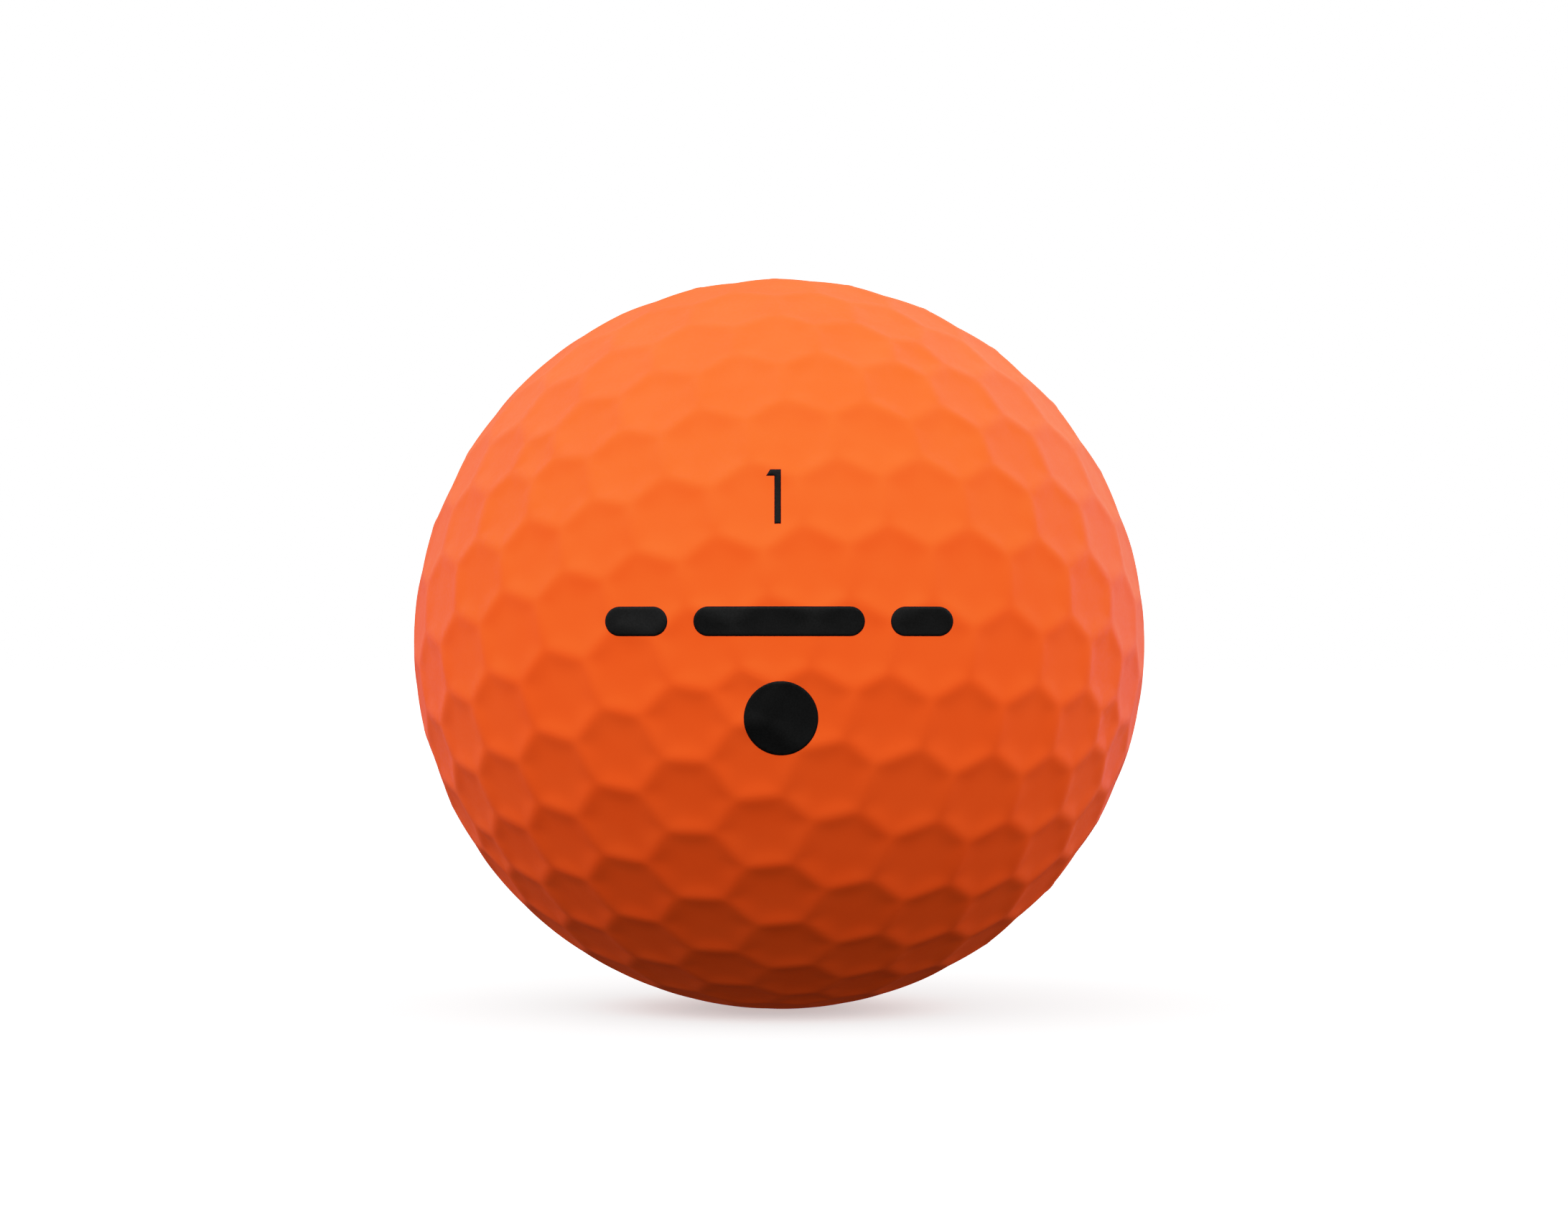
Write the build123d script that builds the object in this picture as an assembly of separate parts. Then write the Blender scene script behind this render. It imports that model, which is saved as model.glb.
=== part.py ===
from build123d import *

import math
import os

# A golf ball: a solid rubber core inside a moulded cover, with thin ink prints on the front.
# Millimetres. The origin is the centre of the ball, +Z is up and the prints face -Y.

# Ball
BALL_DIAMETER = 42.7
BALL_RADIUS = BALL_DIAMETER / 2  # reached by the corners where three dimples meet
COVER_THICKNESS = 1.6
CORE_RADIUS = BALL_RADIUS - COVER_THICKNESS

# Dimple layout: a stretched and twisted icosahedron whose 12 corners are pentagon dimples
STEPS_CAP = 6  # dimple steps from a pole pentagon to the ring of five pentagons around it
STEPS_BAND = 5  # dimple steps across the equator between the two rings
RING_COLATITUDE = 66.7  # degrees from the pole to its ring
RING_TWIST = 30.2  # degrees the far ring is turned against the near ring
PENTAGON_PULL = 0.997  # a pentagon's centre counts this much, which draws its ridges inwards
SECTORS = 5  # equal sectors around the pole axis
SECTOR = 360 / SECTORS

# How the layout sits in the ball: turned about the pole axis, then tipped, then headed
LAYOUT_SPIN = -86.7
LAYOUT_TILT = 102.5
LAYOUT_HEADING = -27.0

# Dimple bowl
DIMPLE_DEPTH = 0.21  # below the ball's sphere, at the middle of a full-size dimple
FULL_DIMPLE_REACH = 2.9  # middle to corner of a full-size dimple

# Ink prints, drawn on the flat that faces the front, as (sideways, up) from the ball's centre
INK_THICKNESS = 0.03
NUMBER_HEIGHT = 2.97
NUMBER_STROKE = 0.36
NUMBER_FLAG = 0.45  # how far the numeral's flag reaches left of its stroke
NUMBER_CENTRE = (-0.08, 7.93)
BAR_HEIGHT = 1.6
BAR_MID_LENGTH = 9.2
BAR_SIDE_LENGTH = 3.4
BAR_GAP = 1.4
BAR_LEVEL = 1.2
DOT_DIAMETER = 4.0
DOT_CENTRE = (0.1, -4.0)
DRAWING_GAP = 1  # how far in front of the ball the flat drawing stands

# Rounding
ON_EDGE = 1e-9  # a lattice place this close to a big triangle's edge is on it
SAME_PLACE = 5  # decimals at which two directions count as the same


def direction(colatitude, longitude):
    """Unit vector at the given angles, in degrees, about the layout's own pole axis."""
    tilt = math.radians(colatitude)
    turn = math.radians(longitude)
    return Vector(math.sin(tilt) * math.cos(turn), math.sin(tilt) * math.sin(turn), math.cos(tilt))


def sector_corners():
    """The six pentagon corners of one sector, each with its place on the triangular lattice."""
    cap, band = STEPS_CAP, STEPS_BAND
    near = [direction(RING_COLATITUDE, -SECTOR * i) for i in (0, 1)]
    far = [direction(180 - RING_COLATITUDE, -SECTOR * i - RING_TWIST) for i in (0, 1)]
    return {
        (0, cap): Vector(0, 0, 1),
        (0, 0): near[0],
        (cap, 0): near[1],
        (band, -band): far[0],
        (cap + band, -band): far[1],
        (cap + band, -cap - band): Vector(0, 0, -1),
    }


def sector_triangles():
    """The four big triangles of one sector, as lattice places of their corners."""
    cap, band = STEPS_CAP, STEPS_BAND
    pole, left, right = (0, cap), (0, 0), (cap, 0)
    low_left, low_right = (band, -band), (cap + band, -band)
    far_pole = (cap + band, -cap - band)
    return [
        (pole, left, right),
        (left, right, low_left),
        (low_left, low_right, right),
        (far_pole, low_left, low_right),
    ]


def weights(place, triangle):
    """Barycentric weights of a lattice place in a big triangle."""
    (ax, ay), (bx, by), (cx, cy) = triangle
    whole = (bx - ax) * (cy - ay) - (cx - ax) * (by - ay)
    second = ((place[0] - ax) * (cy - ay) - (cx - ax) * (place[1] - ay)) / whole
    third = ((bx - ax) * (place[1] - ay) - (place[0] - ax) * (by - ay)) / whole
    return 1 - second - third, second, third


def sector_centres():
    """Dimple centres of one sector, keyed by lattice place: unit vectors, pentagons a bit shorter."""
    corners = sector_corners()
    reach = STEPS_CAP + STEPS_BAND
    centres = {}
    for across in range(reach + 1):
        for up in range(-reach, STEPS_CAP + 1):
            for triangle in sector_triangles():
                share = weights((across, up), triangle)
                if min(share) > -ON_EDGE:
                    flat = sum((corners[c] * w for c, w in zip(triangle, share)), Vector())
                    pull = PENTAGON_PULL if (across, up) in corners else 1
                    centres[across, up] = flat.normalized() * pull
                    break
    return centres


def meeting_point(first, second, third):
    """Unit vector that counts as equally near to three dimple centres: where their ridges meet."""
    axis = (second - first).cross(third - first).normalized()
    return axis if axis.dot(first) > 0 else axis * -1


def sector_junctions():
    """All (dimple centre, ridge junction) pairs of one sector."""
    centres = sector_centres()
    pairs = []
    for x, y in centres:
        for trio in (((x, y), (x + 1, y), (x, y + 1)), ((x, y), (x - 1, y), (x, y - 1))):
            if all(place in centres for place in trio):
                corners = [centres[place] for place in trio]
                junction = meeting_point(*corners)
                pairs += [(corner, junction) for corner in corners]
    return pairs


def placed(vector):
    """A layout direction turned into the ball's own frame."""
    spun = vector.rotate(Axis.Z, LAYOUT_SPIN)
    return spun.rotate(Axis.Y, LAYOUT_TILT).rotate(Axis.Z, LAYOUT_HEADING)


def key(vector):
    """A rounded name for a direction, so that equal directions are recognised."""
    return tuple(round(c, SAME_PLACE) + 0.0 for c in vector)


def dimple_outlines():
    """Every dimple as its centre direction and its ridge junctions in order around it."""
    dimples = {}
    for centre, junction in sector_junctions():
        for sector in range(SECTORS):
            turned = placed(centre.rotate(Axis.Z, SECTOR * sector))
            corner = placed(junction.rotate(Axis.Z, SECTOR * sector))
            dimples.setdefault(key(turned), (turned, {}))[1][key(corner)] = corner
    return [(centre, in_order(centre, corners.values())) for centre, corners in dimples.values()]


def in_order(centre, corners):
    """Corners sorted by their angle around the centre."""
    frame = Plane(origin=(0, 0, 0), z_dir=centre)
    return sorted(corners, key=lambda c: math.atan2(c.dot(frame.y_dir), c.dot(frame.x_dir)))


def ridge(start, end):
    """The crest between two corners: an arc on the ball's sphere."""
    crest = (start + end).normalized()
    return ThreePointArc(start * BALL_RADIUS, crest * BALL_RADIUS, end * BALL_RADIUS)


def dimple_face(centre, corners):
    """The bowl of one dimple, bounded by the ridges between its corners."""
    middle = centre.normalized()
    reach = sum((corner - middle).length for corner in corners) / len(corners) * BALL_RADIUS
    depth = DIMPLE_DEPTH * reach / FULL_DIMPLE_REACH
    ridges = [ridge(a, b) for a, b in zip(corners, corners[1:] + corners[:1])]
    return Face.make_surface(Wire(ridges), surface_points=[middle * (BALL_RADIUS - depth)])


def ball_envelope():
    """The whole dimpled ball as one closed solid."""
    return Solid(Shell([dimple_face(centre, corners) for centre, corners in dimple_outlines()]))


def front_plane():
    """Drawing plane in front of the ball: its x is the ball's +X and its y is +Z."""
    return Plane(origin=(0, -BALL_RADIUS - DRAWING_GAP, 0), x_dir=(1, 0, 0), z_dir=(0, -1, 0))


def ink_film(sketch, ball):
    """A print of even thickness that follows the dimples under it."""
    stamp = extrude(front_plane() * sketch, amount=-BALL_RADIUS)
    return (stamp & Pos(0, -INK_THICKNESS, 0) * ball) - ball


def numeral_one():
    """Outline of the numeral 1: an upright stroke with a short slanted flag."""
    x, y = NUMBER_CENTRE
    right = x + NUMBER_STROKE / 2
    left = x - NUMBER_STROKE / 2
    top = y + NUMBER_HEIGHT / 2
    bottom = y - NUMBER_HEIGHT / 2
    flag_foot = top - NUMBER_STROKE
    corners = [
        (left, bottom),
        (right, bottom),
        (right, top),
        (left - NUMBER_FLAG / 2, top),
        (left - NUMBER_FLAG, flag_foot),
        (left, flag_foot),
    ]
    return make_face(Polyline(*corners, close=True))


def bar(centre_x, length):
    """One straight bar of the alignment mark, with round ends."""
    return Pos(centre_x, BAR_LEVEL) * SlotOverall(length, BAR_HEIGHT)


def build():
    """All pieces by node name."""
    ball = ball_envelope()
    core = Sphere(CORE_RADIUS)
    side = BAR_MID_LENGTH / 2 + BAR_GAP + BAR_SIDE_LENGTH / 2
    return {
        "core": core,
        "cover": ball - core,
        "play_number": ink_film(numeral_one(), ball),
        "align_bar_mid": ink_film(bar(0, BAR_MID_LENGTH), ball),
        "align_bar_left": ink_film(bar(-side, BAR_SIDE_LENGTH), ball),
        "align_bar_right": ink_film(bar(side, BAR_SIDE_LENGTH), ball),
        "align_dot": ink_film(Pos(*DOT_CENTRE) * Circle(DOT_DIAMETER / 2), ball),
    }


os.makedirs("parts", exist_ok=True)
for node, shape in build().items():
    shape.label = node
    export_step(shape, f"parts/{node}.step")
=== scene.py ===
import math

import bmesh
import bpy
import numpy as np
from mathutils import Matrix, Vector
from mathutils.geometry import delaunay_2d_cdt


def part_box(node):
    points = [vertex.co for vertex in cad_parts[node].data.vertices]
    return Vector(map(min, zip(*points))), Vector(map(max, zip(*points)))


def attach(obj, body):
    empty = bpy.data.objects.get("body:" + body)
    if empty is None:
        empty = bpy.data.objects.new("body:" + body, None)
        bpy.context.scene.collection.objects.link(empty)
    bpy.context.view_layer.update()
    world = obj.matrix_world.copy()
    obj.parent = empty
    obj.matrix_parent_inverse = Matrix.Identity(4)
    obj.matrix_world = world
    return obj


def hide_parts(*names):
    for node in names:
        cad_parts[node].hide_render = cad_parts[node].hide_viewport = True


# A matte orange golf ball, upright with its prints towards -Y. Metres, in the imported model's frame.

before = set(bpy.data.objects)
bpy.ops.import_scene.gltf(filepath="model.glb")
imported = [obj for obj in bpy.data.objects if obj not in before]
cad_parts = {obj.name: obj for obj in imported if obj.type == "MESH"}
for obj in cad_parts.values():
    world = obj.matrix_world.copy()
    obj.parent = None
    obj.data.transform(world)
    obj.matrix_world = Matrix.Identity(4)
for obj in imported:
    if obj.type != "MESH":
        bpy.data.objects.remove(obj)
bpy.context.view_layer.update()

MM = 0.001
CORE_LOW, CORE_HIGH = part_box("core")
CORE_RADIUS = (CORE_HIGH.z - CORE_LOW.z) / 2
BALL_RADIUS = 21.35 * MM  # the crests of the ridges lie on this sphere

# Dimple layout: a stretched and twisted icosahedron whose 12 corners are pentagon dimples
STEPS_CAP = 6  # dimple steps from a pole pentagon to the ring of five pentagons around it
STEPS_BAND = 5  # dimple steps across the equator between the two rings
RING_COLATITUDE = 66.7  # degrees from the pole to its ring
RING_TWIST = 30.2  # degrees the far ring is turned against the near ring
PENTAGON_PULL = 0.997  # a pentagon's centre counts this much, which draws its ridges inwards
SECTORS = 5  # equal sectors around the pole axis
SECTOR = 360 / SECTORS
MOST_SIDES = 6  # a dimple has this many sides, or one fewer

# How the layout sits in the ball: turned about the pole axis, then tipped, then headed
LAYOUT_SPIN = -86.7
LAYOUT_TILT = 102.5
LAYOUT_HEADING = -27.0

# Section across a ridge: a round crest, then a wall that eases into the floor of the dimple
DIMPLE_DEPTH = 0.21 * MM
WALL_REACH = 0.35 * MM  # from the crest line to the steepest part of the wall
CREST_SOFTNESS = 0.1 * MM
CORNER_BLEND = 6  # higher is a crisper hexagon

# Mesh of the cover
RINGS = 9  # from the middle of a dimple to its ridges
RING_CROWDING = 1.6  # higher puts more of the rings near the ridges
INNER_SUBDIVISIONS = 5  # of the round inside

# Ink prints
INK_THICKNESS = 0.03 * MM
INK_EDGE = 0.3  # share of the thickness left at a print's edge
INK_TAPER = 0.05 * MM  # how fast the film thickens away from its edge
NUMBER_STROKE = 0.36 * MM
OUTLINE_STEP = 0.08 * MM  # between the points of an outline
FILL_STEP = 0.12 * MM  # between the points inside it
FILL_CLEARANCE = 0.6 * FILL_STEP  # from the outline to the nearest point inside it
LANDING_ROUNDS = 8  # enough for a drawn point to settle on the dimpled surface

# Materials
NOISE_SPAN = (0.3, 0.7)  # most of a noise texture's values fall in this span

# Floor
FLOOR_REACH = 3.0  # from the ball to each side
FLOOR_WHITE = 0.92
FLOOR_GLOW = 0.45  # of its own light, so that the lit floor is as white as the backdrop

# Studio light: a dome that fades from overhead to dark underneath, dimmer behind the ball, with
# four broad softboxes. Places are (degrees right of the camera, degrees up).
DOME_STRENGTH = 2.09
DOME_FADE = (-1.16, 2.02)  # heights, on a sphere of radius 1, where the fade would start and end
DIM_SIDE = (160, -4)
DIM_SHARE = 0.09  # of the dome's strength that is left there
DIM_SPREAD = (0.2, 0.9)  # cosines of the angles from its middle where dimming starts and is full
SOFTBOXES = (  # place and strength
    ((-57, 55), 2.8), ((33, 45), 1.8), ((130, 20), 2.8), ((-130, 15), 1.0),
)
SOFTBOX_SPREAD = (0.7, 1.0)  # cosines of the angles from its middle where it starts and is full

# Picture tones: scene brightness to picture brightness, with a soft shoulder
TONES = (
    (0.0, 0.0), (0.1, 0.1), (0.3, 0.3), (0.5, 0.5), (0.7, 0.64),
    (0.9, 0.765), (1.1, 0.85), (1.3, 0.895), (1.6, 0.945), (2.0, 1.0),
)

# Blue rises a little faster than that where orange is bright, as in a camera's picture of a vivid colour
BLUE_LIFT = (
    (0.0, 0.0), (0.02, 0.02), (0.03, 0.031), (0.04, 0.051), (0.05, 0.068), (0.07, 0.093),
    (0.1, 0.122), (0.15, 0.165), (0.25, 0.255), (0.5, 0.5), (1.0, 1.0), (2.0, 2.0),
)

# Camera
CAMERA_DISTANCE = 11.24  # in ball radii
BALL_SHARE = 0.466  # of the picture's width
BALL_OFFSET = (0.0031, 0.0240)  # picture's middle, right of and above the ball's, in picture widths
SENSOR_WIDTH = 36  # millimetres, as Blender's cameras count
CLIP_NEAR = 0.01
CLIP_FAR = 20

# Rounding
ON_EDGE = 1e-9  # a lattice place this close to a big triangle's edge is on it
SAME_DIRECTION = 5  # decimals at which two directions count as the same dimple
SAME_POINTS_APART = 1e-6  # mesh points closer than this, on a sphere of radius 1, are joined
SAME_DRAWN_POINT = 1e-6  # millimetres at which two points of a drawing are joined
ON_RIDGE = 1e-9  # least distance from a ridge that is worked with
NEVER_ZERO = 1e-15  # added to a run's height, so that a level run doesn't divide by zero


# ---------------------------------------------------------------- dimple layout

def direction(colatitude, longitude):
    """Unit vector at the given angles, in degrees, about the layout's pole axis."""
    tilt = math.radians(colatitude)
    turn = math.radians(longitude)
    return np.array([math.sin(tilt) * math.cos(turn), math.sin(tilt) * math.sin(turn), math.cos(tilt)])


def turn_about(axis, degrees):
    """Rotation matrix about Y or Z."""
    cosine = math.cos(math.radians(degrees))
    sine = math.sin(math.radians(degrees))
    if axis == "Y":
        return np.array([[cosine, 0, sine], [0, 1, 0], [-sine, 0, cosine]])
    return np.array([[cosine, -sine, 0], [sine, cosine, 0], [0, 0, 1]])


def unit(vectors):
    """Rows scaled to unit length."""
    return vectors / np.linalg.norm(vectors, axis=-1, keepdims=True)


def sector_centres():
    """Dimple centres of one sector, keyed by lattice place: unit vectors, pentagons a bit shorter."""
    cap, band = STEPS_CAP, STEPS_BAND
    corner = {
        (0, cap): direction(0, 0),
        (0, 0): direction(RING_COLATITUDE, 0),
        (cap, 0): direction(RING_COLATITUDE, -SECTOR),
        (band, -band): direction(180 - RING_COLATITUDE, -RING_TWIST),
        (cap + band, -band): direction(180 - RING_COLATITUDE, -RING_TWIST - SECTOR),
        (cap + band, -cap - band): direction(180, 0),
    }
    pole, left, right, low_left, low_right, far_pole = corner
    triangles = [
        (pole, left, right),
        (left, right, low_left),
        (low_left, low_right, right),
        (far_pole, low_left, low_right),
    ]
    centres = {}
    for across in range(cap + band + 1):
        for up in range(-cap - band, cap + 1):
            for triangle in triangles:
                lattice = np.array([[x, y, 1] for x, y in triangle], float).T
                share = np.linalg.solve(lattice, [across, up, 1])
                if share.min() > -ON_EDGE:
                    pull = PENTAGON_PULL if (across, up) in corner else 1
                    flat = share @ np.array([corner[place] for place in triangle])
                    centres[across, up] = unit(flat) * pull
                    break
    return centres


def dimple_triangles():
    """Every trio of dimples that meet at a ridge corner, all round the ball, as (n, 3, 3) centres."""
    centres = sector_centres()
    trios = []
    for x, y in centres:
        for places in (((x, y), (x + 1, y), (x, y + 1)), ((x, y), (x - 1, y), (x, y - 1))):
            if all(place in centres for place in places):
                trios.append([centres[place] for place in places])
    trios = np.array(trios)
    sectors = [trios @ turn_about("Z", SECTOR * k).T for k in range(SECTORS)]
    placing = turn_about("Z", LAYOUT_HEADING) @ turn_about("Y", LAYOUT_TILT) @ turn_about("Z", LAYOUT_SPIN)
    return np.concatenate(sectors) @ placing.T


def in_order(centre, corners):
    """A dimple's ridge corners sorted by their angle around its centre."""
    start = corners[0] - centre
    east = unit(start - centre * (start @ centre) / (centre @ centre))
    north = np.cross(centre, east)
    return corners[np.argsort(np.arctan2(corners @ north, corners @ east))]


def side_normals(centre, neighbours):
    """Unit normals of the planes between a dimple and its neighbours, always MOST_SIDES of them."""
    normals = list(unit(centre - neighbours))
    while len(normals) < MOST_SIDES:  # a pentagon has five sides: its centre stands in as a far sixth
        normals.append(unit(centre))
    return normals


def build_layout():
    """Dimple centres, the normals of each dimple's side planes and its ridge corners in order."""
    trios = dimple_triangles()
    keys = np.round(trios.reshape(-1, 3), SAME_DIRECTION) + 0.0  # adding 0 turns -0 into 0
    _, first, index = np.unique(keys, axis=0, return_index=True, return_inverse=True)
    centres = trios.reshape(-1, 3)[first]
    index = index.reshape(-1, 3)
    corners = unit(np.cross(trios[:, 1] - trios[:, 0], trios[:, 2] - trios[:, 0]))
    corners *= np.sign(np.einsum("ij,ij->i", corners, trios[:, 0]))[:, None]
    rims, sides = [], []
    for dimple, centre in enumerate(centres):
        around = (index == dimple).any(axis=1)
        neighbours = sorted(set(index[around].ravel()) - {dimple})
        rims.append(in_order(centre, corners[around]))
        sides.append(side_normals(centre, centres[neighbours]))
    return centres, np.array(sides), rims


CENTRES, SIDES, RIMS = build_layout()


def surface_radius(directions):
    """Distance from the ball's centre to its outer surface along each unit direction."""
    nearest = np.argmax(directions @ CENTRES.T, axis=1)
    from_ridges = np.einsum("ij,ikj->ik", directions, SIDES[nearest]) * BALL_RADIUS
    from_ridges = np.maximum(from_ridges, ON_RIDGE)
    blended = (from_ridges ** -CORNER_BLEND).sum(axis=1) ** (-1 / CORNER_BLEND)
    eased = np.sqrt(blended ** 2 + CREST_SOFTNESS ** 2) - CREST_SOFTNESS
    steps = eased / WALL_REACH
    return BALL_RADIUS - DIMPLE_DEPTH * (1 - (1 + steps) * np.exp(-steps))


# ---------------------------------------------------------------- meshes

def new_piece(name, vertices, faces, node, material):
    """A smooth-shaded mesh object that stands for a CAD node and takes a material slot's finish."""
    mesh = bpy.data.meshes.new(name)
    mesh.from_pydata([tuple(v) for v in vertices], [], [tuple(f) for f in faces])
    mesh.shade_smooth()
    mesh.materials.append(material)
    piece = bpy.data.objects.new(name, mesh)
    bpy.context.scene.collection.objects.link(piece)
    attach(piece, "root")
    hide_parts(node)
    return piece


def fan_points(centre, here, there):
    """Points in rows that widen from a dimple's centre to the ridge between two of its corners."""
    shares = 1 - (1 - np.arange(RINGS + 1) / RINGS) ** RING_CROWDING
    points = []
    for ring, share in enumerate(shares):
        for step in range(ring + 1):
            along = here + (there - here) * (step / ring if ring else 0)
            points.append(centre + (along - centre) * share)
    return points


def fan_faces(base):
    """Triangles between the rows of a fan whose first point has the number base."""
    faces = []
    for ring in range(RINGS):
        row = base + ring * (ring + 1) // 2
        below = row + ring + 1
        for step in range(ring + 1):
            faces.append((row + step, below + step, below + step + 1))
            if step < ring:
                faces.append((row + step, below + step + 1, row + step + 1))
    return faces


def dimpled_skin():
    """Vertices and triangles of the outer surface, each dimple cut into fans from its centre."""
    points, faces = [], []
    for centre, rim in zip(CENTRES, RIMS):
        for here, there in zip(rim, np.roll(rim, -1, axis=0)):
            faces += fan_faces(len(points))
            points += fan_points(centre, here, there)
    points = unit(np.array(points))
    keys = np.round(points / SAME_POINTS_APART).astype(np.int64)
    _, first, index = np.unique(keys, axis=0, return_index=True, return_inverse=True)
    points = points[first]
    faces = index.reshape(-1)[np.array(faces)]
    return points * surface_radius(points)[:, None], faces


def inner_skin():
    """The cover's round inside, facing the core."""
    ball = bmesh.new()
    bmesh.ops.create_icosphere(ball, subdivisions=INNER_SUBDIVISIONS, radius=CORE_RADIUS)
    vertices = np.array([v.co for v in ball.verts])
    faces = np.array([[v.index for v in f.verts][::-1] for f in ball.faces])
    ball.free()
    return vertices, faces


def build_cover(material):
    """The cover: its dimpled outside and its round inside."""
    outer, outer_faces = dimpled_skin()
    inner, inner_faces = inner_skin()
    vertices = np.concatenate([outer, inner])
    faces = np.concatenate([outer_faces, inner_faces + len(outer)])
    return new_piece("ball_cover", vertices, faces, "cover", material)


def finish_core(material):
    """The core is the CAD's own ball: only its finish is set here."""
    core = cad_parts["core"]
    core.material_slots[0].material = material


def surface_points(flat):
    """Points of a drawing on the front plane, as (x, z), carried along Y onto the ball's surface."""
    across, up = flat[:, 0], flat[:, 1]
    radius = np.full(len(flat), BALL_RADIUS)
    for _ in range(LANDING_ROUNDS):
        points = np.stack([across, -np.sqrt(radius ** 2 - across ** 2 - up ** 2), up], axis=1)
        radius = surface_radius(unit(points))
    return points


def arc(centre, radius, start, end):
    """Points along a circle's arc, in degrees, about OUTLINE_STEP apart."""
    count = max(2, round(abs(math.radians(end - start)) * radius / OUTLINE_STEP))
    angles = np.radians(np.linspace(start, end, count, endpoint=False))
    return np.array(centre) + radius * np.stack([np.cos(angles), np.sin(angles)], axis=1)


def walk(corners):
    """Points along a closed run of straight lines, about OUTLINE_STEP apart."""
    runs = []
    for here, there in zip(corners, np.roll(corners, -1, axis=0)):
        count = max(1, round(np.linalg.norm(there - here) / OUTLINE_STEP))
        runs.append(here + (there - here) * (np.arange(count) / count)[:, None])
    return np.concatenate(runs)


def from_outline(points, outline):
    """Distance of each point from the nearest outline point."""
    return np.linalg.norm(points[:, None] - outline[None], axis=2).min(axis=1)


def inside(points, outline):
    """Which points lie inside a closed outline, by counting crossings."""
    x, y = points[:, 0:1], points[:, 1:2]
    x0, y0 = outline.T
    x1, y1 = np.roll(outline, -1, axis=0).T
    crossing = x0 + (y - y0) * (x1 - x0) / (y1 - y0 + NEVER_ZERO)
    crosses = ((y0 > y) != (y1 > y)) & (x < crossing)
    return crosses.sum(axis=1) % 2 == 1


def fill_points(outline):
    """Points on a square grid inside an outline and clear of it."""
    low, high = outline.min(axis=0), outline.max(axis=0)
    columns = np.arange(low[0], high[0], FILL_STEP)
    rows = np.arange(low[1], high[1], FILL_STEP)
    grid = np.stack(np.meshgrid(columns, rows), axis=-1).reshape(-1, 2)
    grid = grid[inside(grid, outline)]
    return grid[from_outline(grid, outline) > FILL_CLEARANCE]


def filled(outline, loop):
    """A drawing's points, the outline's first, and the triangles that fill it."""
    drawn = np.concatenate([outline, fill_points(outline)]) / MM
    only_inside = 1
    points, _, faces, *_ = delaunay_2d_cdt(
        [Vector(point) for point in drawn], loop, [], only_inside, SAME_DRAWN_POINT)
    return np.array([tuple(point) for point in points]) * MM, faces


def build_print(name, outline, material):
    """An ink film that follows the dimples: thinning to its edge, closed underneath."""
    rim = len(outline)
    loop = [(i, (i + 1) % rim) for i in range(rim)]
    flat, faces = filled(outline, loop)
    base = surface_points(flat)
    rise = INK_THICKNESS * (1 - (1 - INK_EDGE) * np.exp(-from_outline(flat, outline) / INK_TAPER))
    top = base * (1 + rise / np.linalg.norm(base, axis=1))[:, None]
    count = len(flat)
    upper = [tuple(face) for face in faces]
    lower = [tuple(count + corner for corner in reversed(face)) for face in faces]
    wall = [(b, a, a + count, b + count) for a, b in loop]
    piece = new_piece(
        name + "_ink", np.concatenate([top, base]), upper + lower + wall, name, material)
    for face in piece.data.polygons[-len(wall):]:
        face.use_smooth = False


def build_prints(material):
    """The play number and the alignment mark."""
    build_print("play_number", numeral_outline(), material)
    for bar in ("align_bar_left", "align_bar_mid", "align_bar_right"):
        build_print(bar, bar_outline(bar), material)
    build_print("align_dot", dot_outline(), material)


def numeral_outline():
    """The numeral 1: an upright stroke with a short slanted flag."""
    low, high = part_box("play_number")
    left = high.x - NUMBER_STROKE
    flag_foot = high.z - NUMBER_STROKE
    flag_top = (low.x + left) / 2
    return walk(np.array([
        (left, low.z), (high.x, low.z), (high.x, high.z),
        (flag_top, high.z), (low.x, flag_foot), (left, flag_foot),
    ]))


def bar_outline(node):
    """A bar with round ends that fills the CAD film's box."""
    low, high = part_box(node)
    radius = (high.z - low.z) / 2
    middle = (high.z + low.z) / 2
    left_end, right_end = (low.x + radius, middle), (high.x - radius, middle)
    count = round((right_end[0] - left_end[0]) / OUTLINE_STEP)
    along = np.linspace(left_end[0], right_end[0], count, endpoint=False)
    under = np.stack([along, np.full(count, low.z)], axis=1)
    over = np.stack([along[0] + right_end[0] - along, np.full(count, high.z)], axis=1)
    return np.concatenate([
        under, arc(right_end, radius, -90, 90), over, arc(left_end, radius, 90, 270),
    ])


def dot_outline():
    """The round dot that fills the CAD film's box."""
    low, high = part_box("align_dot")
    centre = ((low.x + high.x) / 2, (low.z + high.z) / 2)
    return arc(centre, (high.x - low.x) / 2, 0, 360)


# ---------------------------------------------------------------- materials

def shader(name):
    """A new node material: the material, its node tree and its Principled node."""
    material = bpy.data.materials.new(name)
    material.use_nodes = True
    tree = material.node_tree
    return material, tree, tree.nodes["Principled BSDF"]


def smooth_step(tree, value, span, results):
    """An output that eases from one result to the other as a value crosses a span."""
    node = tree.nodes.new("ShaderNodeMapRange")
    node.interpolation_type = "SMOOTHSTEP"
    tree.links.new(value, node.inputs["Value"])
    node.inputs["From Min"].default_value, node.inputs["From Max"].default_value = span
    node.inputs["To Min"].default_value, node.inputs["To Max"].default_value = results
    return node.outputs["Result"]


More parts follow.
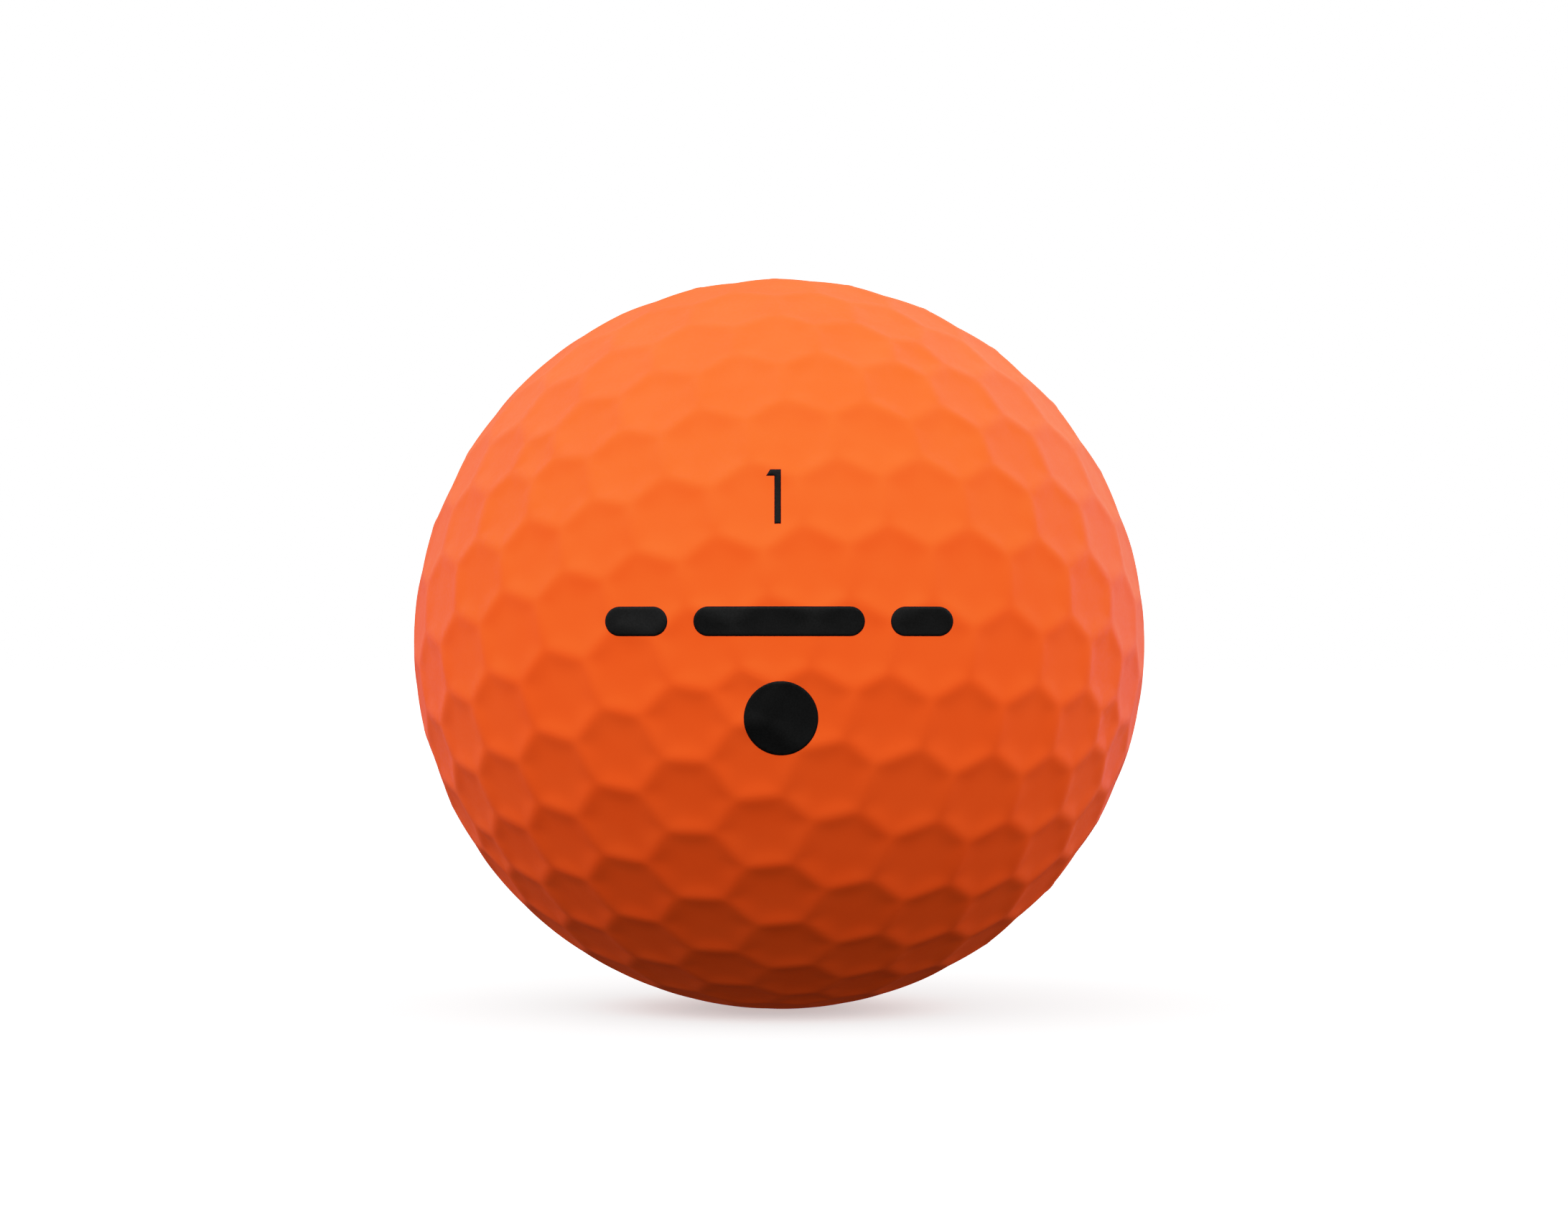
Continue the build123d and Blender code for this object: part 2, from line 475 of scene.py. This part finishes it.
def noise(tree, grain, detail=2):
    """Smooth 3-D noise from 0 to 1 in the ball's own metres; grain is the size of its blotches."""
    place = tree.nodes.new("ShaderNodeTexCoord")
    node = tree.nodes.new("ShaderNodeTexNoise")
    node.inputs["Scale"].default_value = 1 / grain
    node.inputs["Detail"].default_value = detail
    tree.links.new(place.outputs["Object"], node.inputs["Vector"])
    return node.outputs["Fac"]


def blend(tree, amount, colours):
    """A colour between two, chosen by an amount from 0 to 1."""
    node = tree.nodes.new("ShaderNodeMix")
    node.data_type = "RGBA"
    tree.links.new(amount, node.inputs["Factor"])
    node.inputs["A"].default_value = (*colours[0], 1)
    node.inputs["B"].default_value = (*colours[1], 1)
    return node.outputs["Result"]


def grained_material(name, colours, blotch, roughness, specular, grain, relief):
    """A matt material: its colour drifts in soft blotches, its gloss and relief are finely grained."""
    material, tree, surface = shader(name)
    drift = smooth_step(tree, noise(tree, blotch), NOISE_SPAN, (0, 1))
    tree.links.new(blend(tree, drift, colours), surface.inputs["Base Color"])
    fine = noise(tree, grain, detail=3)
    tree.links.new(smooth_step(tree, fine, NOISE_SPAN, roughness), surface.inputs["Roughness"])
    bump = tree.nodes.new("ShaderNodeBump")
    bump.inputs["Distance"].default_value = relief
    tree.links.new(fine, bump.inputs["Height"])
    tree.links.new(bump.outputs["Normal"], surface.inputs["Normal"])
    surface.inputs["Specular IOR Level"].default_value = specular
    return material


def cover_material():
    """Dyed ionomer under a clear matt coat."""
    return grained_material(
        "cover_matte", colours=((0.92, 0.085, 0.0092), (0.94, 0.090, 0.0104)), blotch=3 * MM,
        roughness=(0.57, 0.63), specular=0.05, grain=0.25 * MM, relief=0.003 * MM)


def ink_material():
    """Black pad-printing ink under the same coat."""
    return grained_material(
        "print_ink", colours=((0.0015, 0.0016, 0.0017), (0.0035, 0.0036, 0.0038)), blotch=0.08 * MM,
        roughness=(0.6, 0.7), specular=0.08, grain=0.12 * MM, relief=0.002 * MM)


def core_material():
    """Moulded rubber, a dull grey-green with filler specks; hidden inside the cover."""
    return grained_material(
        "core_rubber", colours=((0.05, 0.075, 0.07), (0.075, 0.11, 0.10)), blotch=1.5 * MM,
        roughness=(0.7, 0.9), specular=0.3, grain=0.4 * MM, relief=0.02 * MM)


# ---------------------------------------------------------------- stage

def build_floor():
    """A plain white table under the ball that doesn't light it from below."""
    reach = FLOOR_REACH
    mesh = bpy.data.meshes.new("floor")
    sides = ((-reach, -reach), (reach, -reach), (reach, reach), (-reach, reach))
    mesh.from_pydata([(x, y, -BALL_RADIUS) for x, y in sides], [], [(0, 1, 2, 3)])
    floor = bpy.data.objects.new("floor", mesh)
    bpy.context.scene.collection.objects.link(floor)
    material, _, surface = shader("floor_white")
    surface.inputs["Base Color"].default_value = (FLOOR_WHITE, FLOOR_WHITE, FLOOR_WHITE, 1)
    surface.inputs["Roughness"].default_value = 0.8
    surface.inputs["Emission Color"].default_value = (1, 1, 1, 1)
    surface.inputs["Emission Strength"].default_value = FLOOR_GLOW
    mesh.materials.append(material)
    floor.visible_diffuse = False
    floor.visible_glossy = False
    floor.visible_shadow = False


def maths(tree, operation, first, second):
    """An output that combines two values."""
    node = tree.nodes.new("ShaderNodeMath")
    node.operation = operation
    tree.links.new(first, node.inputs[0])
    tree.links.new(second, node.inputs[1])
    return node.outputs[0]


def glow(tree, sky, place, spread, results):
    """An output that eases from one result to the other towards a place in the sky."""
    right, up = (math.radians(angle) for angle in place)
    towards = tree.nodes.new("ShaderNodeVectorMath")
    towards.operation = "DOT_PRODUCT"
    towards.inputs[1].default_value = (
        math.sin(right) * math.cos(up), -math.cos(right) * math.cos(up), math.sin(up))
    tree.links.new(sky, towards.inputs[0])
    return smooth_step(tree, towards.outputs["Value"], spread, results)


def background(tree, strength):
    """A white background node of the given strength."""
    node = tree.nodes.new("ShaderNodeBackground")
    node.inputs["Color"].default_value = (1, 1, 1, 1)
    node.inputs["Strength"].default_value = strength
    return node


def light_strength(tree, sky):
    """An output with the strength of the studio light from each place in the sky."""
    split = tree.nodes.new("ShaderNodeSeparateXYZ")
    tree.links.new(sky, split.inputs[0])
    dome = smooth_step(tree, split.outputs["Z"], DOME_FADE, (0, DOME_STRENGTH))
    light = maths(tree, "MULTIPLY", dome, glow(tree, sky, DIM_SIDE, DIM_SPREAD, (1, DIM_SHARE)))
    for place, strength in SOFTBOXES:
        light = maths(tree, "ADD", light, glow(tree, sky, place, SOFTBOX_SPREAD, (0, strength)))
    return light


def build_light():
    """Soft white light from all round, with plain white seen behind the ball."""
    world = bpy.data.worlds.new("studio")
    bpy.context.scene.world = world
    world.use_nodes = True
    tree = world.node_tree
    tree.nodes.clear()
    sky = tree.nodes.new("ShaderNodeTexCoord").outputs["Generated"]
    studio = background(tree, 1)
    tree.links.new(light_strength(tree, sky), studio.inputs["Strength"])
    backdrop = background(tree, TONES[-1][0])
    seen = tree.nodes.new("ShaderNodeLightPath")
    mix = tree.nodes.new("ShaderNodeMixShader")
    tree.links.new(seen.outputs["Is Camera Ray"], mix.inputs["Fac"])
    tree.links.new(studio.outputs[0], mix.inputs[1])
    tree.links.new(backdrop.outputs[0], mix.inputs[2])
    out = tree.nodes.new("ShaderNodeOutputWorld")
    tree.links.new(mix.outputs[0], out.inputs["Surface"])


def set_tones():
    """The picture's tone curve, like film: straight below, easing off before white."""
    view = bpy.context.scene.view_settings
    view.view_transform = "Standard"
    view.use_curve_mapping = True
    mapping = view.curve_mapping
    top = TONES[-1][0]
    mapping.white_level = (top, top, top)
    _, _, blue, combined = mapping.curves  # each channel's own curve, then the one for all three
    for scene_value, picture_value in TONES[1:-1]:
        combined.points.new(scene_value / top, picture_value)
    for scene_value, lifted_value in BLUE_LIFT[1:-1]:
        blue.points.new(scene_value / top, lifted_value / top)
    mapping.update()


def build_camera():
    """Level with the ball's centre, as far off as the picture's perspective shows."""
    distance = CAMERA_DISTANCE * BALL_RADIUS
    camera = bpy.data.cameras.new("camera")
    limb = BALL_RADIUS / math.sqrt(distance ** 2 - BALL_RADIUS ** 2)
    camera.sensor_width = SENSOR_WIDTH
    camera.lens = SENSOR_WIDTH * BALL_SHARE / (2 * limb)
    camera.shift_x, camera.shift_y = BALL_OFFSET
    camera.clip_start = CLIP_NEAR
    camera.clip_end = CLIP_FAR
    viewer = bpy.data.objects.new("camera", camera)
    viewer.location = (0, -distance, 0)
    viewer.rotation_euler = (math.radians(90), 0, 0)
    bpy.context.scene.collection.objects.link(viewer)
    bpy.context.scene.camera = viewer


build_cover(cover_material())
finish_core(core_material())
build_prints(ink_material())
build_floor()
build_light()
build_camera()
set_tones()
